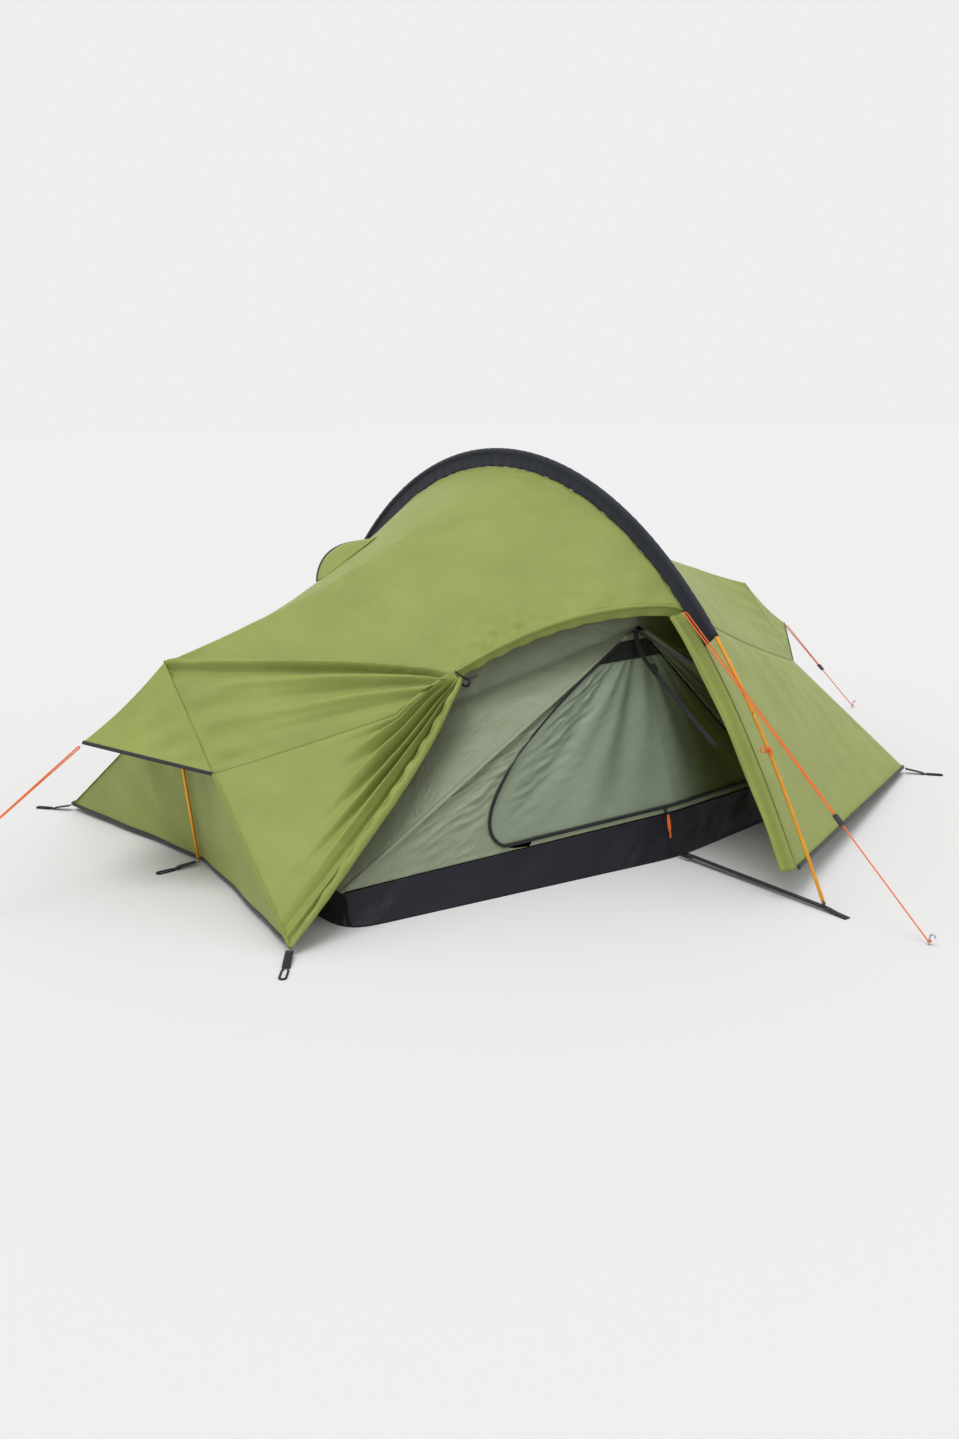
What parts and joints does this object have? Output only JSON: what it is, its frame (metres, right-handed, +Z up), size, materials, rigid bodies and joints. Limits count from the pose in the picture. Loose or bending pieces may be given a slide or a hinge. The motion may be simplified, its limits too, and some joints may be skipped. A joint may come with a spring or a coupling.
{
  "type": "two-person hooped backpacking tent",
  "caption": "Low two-person tent on one bent cross pole and two short end poles, with its porch door tied back over a hung inner tent.",
  "frame": {"origin": "on the ground under the middle of the tent, on the underside of its floor", "axes": "+X along the tent from its left end to its right end, +Y from the open porch side to the far side, +Z up"},
  "size_m": [3.7806, 2.9253, 1.089],
  "materials": {
    "fly_fabric": "coated ripstop nylon with a soft sheen",
    "sleeve_fabric": "dark navy pack cloth",
    "pole_alloy": "gold-orange anodised tube",
    "pole_plug": "moulded end plug",
    "shock_cord": "braided elastic",
    "inner_fabric": "thin grey-green breathable nylon",
    "mesh_fabric": "black insect mesh",
    "floor_fabric": "black coated groundsheet with a slight sheen",
    "webbing": "dark grey woven webbing",
    "guyline_cord": "orange braided cord",
    "buckle_plastic": "black acetal",
    "peg_alloy": "bare alloy wire"
  },
  "bodies": {
    "tent": {"arch_pole_section_1": "pole_alloy", "arch_pole_section_2": "pole_alloy", "arch_pole_section_3": "pole_alloy", "arch_pole_section_4": "pole_alloy", "arch_pole_section_5": "pole_alloy", "arch_pole_section_6": "pole_alloy", "arch_pole_section_7": "pole_alloy", "arch_shock_cord": "shock_cord", "arch_pole_tip_near": "pole_plug", "arch_pole_tip_far": "pole_plug", "pole_sleeve": "sleeve_fabric", "end_pole_lower_left": "pole_alloy", "end_pole_lower_right": "pole_alloy", "end_pole_upper_left": "pole_alloy", "end_pole_upper_right": "pole_alloy", "fly_roof_left": "fly_fabric", "fly_roof_right": "fly_fabric", "fly_wall_near_right": "fly_fabric", "fly_wall_far_left": "fly_fabric", "fly_wall_far_right": "fly_fabric", "fly_door": "fly_fabric", "fly_storm_flap": "fly_fabric", "fly_end_left": "fly_fabric", "fly_end_right": "fly_fabric", "fly_hood_left": "fly_fabric", "fly_hood_right": "fly_fabric", "vent_cowl": "fly_fabric", "groundsheet": "floor_fabric", "inner_wall_near": "inner_fabric", "inner_wall_far": "inner_fabric", "inner_roof": "inner_fabric", "inner_end_left": "inner_fabric", "inner_end_right": "inner_fabric", "floor_strap_near": "webbing", "floor_strap_far": "webbing", "ladder_lock_near": "buckle_plastic", "ladder_lock_far": "buckle_plastic", "peg_loop_near_left": "webbing", "peg_loop_far_left": "webbing", "peg_loop_end_left": "webbing", "peg_loop_near_right": "webbing", "peg_loop_far_right": "webbing", "peg_loop_end_right": "webbing", "tension_strap": "webbing", "pole_hitch_cord": "guyline_cord", "guyline_near": "guyline_cord", "guyline_left": "guyline_cord", "guyline_right": "guyline_cord", "guy_peg_near": "peg_alloy", "guy_peg_left": "peg_alloy", "guy_peg_right": "peg_alloy"},
    "inner_door": {"inner_door": "inner_fabric", "inner_door_mesh": "mesh_fabric"},
    "zip_slider": {"door_zip_slider": "buckle_plastic"},
    "zip_pull": {"zip_pull_cord": "guyline_cord"},
    "near_runner": {"line_runner_near": "buckle_plastic"},
    "left_runner": {"line_runner_left": "buckle_plastic"},
    "right_runner": {"line_runner_right": "buckle_plastic"},
    "toggle": {"tie_back_toggle": "buckle_plastic"},
    "strap_buckle": {"tension_buckle": "buckle_plastic"}
  },
  "joints": [
    {"name": "inner_door_swing", "type": "hinge", "parent": "tent", "child": "inner_door", "pos_m": [0.4729, -0.6816, 0.1206], "axis": [0.6804, -0.1116, -0.7243], "range_deg": [0, 80]},
    {"name": "door_zip_slide", "type": "slide", "parent": "tent", "child": "zip_slider", "axis": [-0.9841, 0.1696, -0.0525], "range_m": [0, 0.27]},
    {"name": "zip_pull_swing", "type": "hinge", "parent": "zip_slider", "child": "zip_pull", "pos_m": [-0.0384, -0.7749, 0.1273], "axis": [-1, 0, 0], "range_deg": [0, 80]},
    {"name": "near_runner_slide", "type": "slide", "parent": "tent", "child": "near_runner", "axis": [0.0435, -0.7435, -0.6673], "range_m": [-0.08, 0.15]},
    {"name": "left_runner_slide", "type": "slide", "parent": "tent", "child": "left_runner", "axis": [-0.8284, 0, -0.5602], "range_m": [-0.04, 0.1]},
    {"name": "right_runner_slide", "type": "slide", "parent": "tent", "child": "right_runner", "axis": [0.7558, 0, -0.6548], "range_m": [-0.04, 0.1]},
    {"name": "toggle_turn", "type": "hinge", "parent": "tent", "child": "toggle", "pos_m": [-0.5105, -0.524, 0.532], "axis": [0, -1, 0], "range_deg": [-60, 60]},
    {"name": "strap_buckle_slide", "type": "slide", "parent": "tent", "child": "strap_buckle", "axis": [0, -0.8123, -0.5832], "range_m": [0, 0.12]}
  ]
}
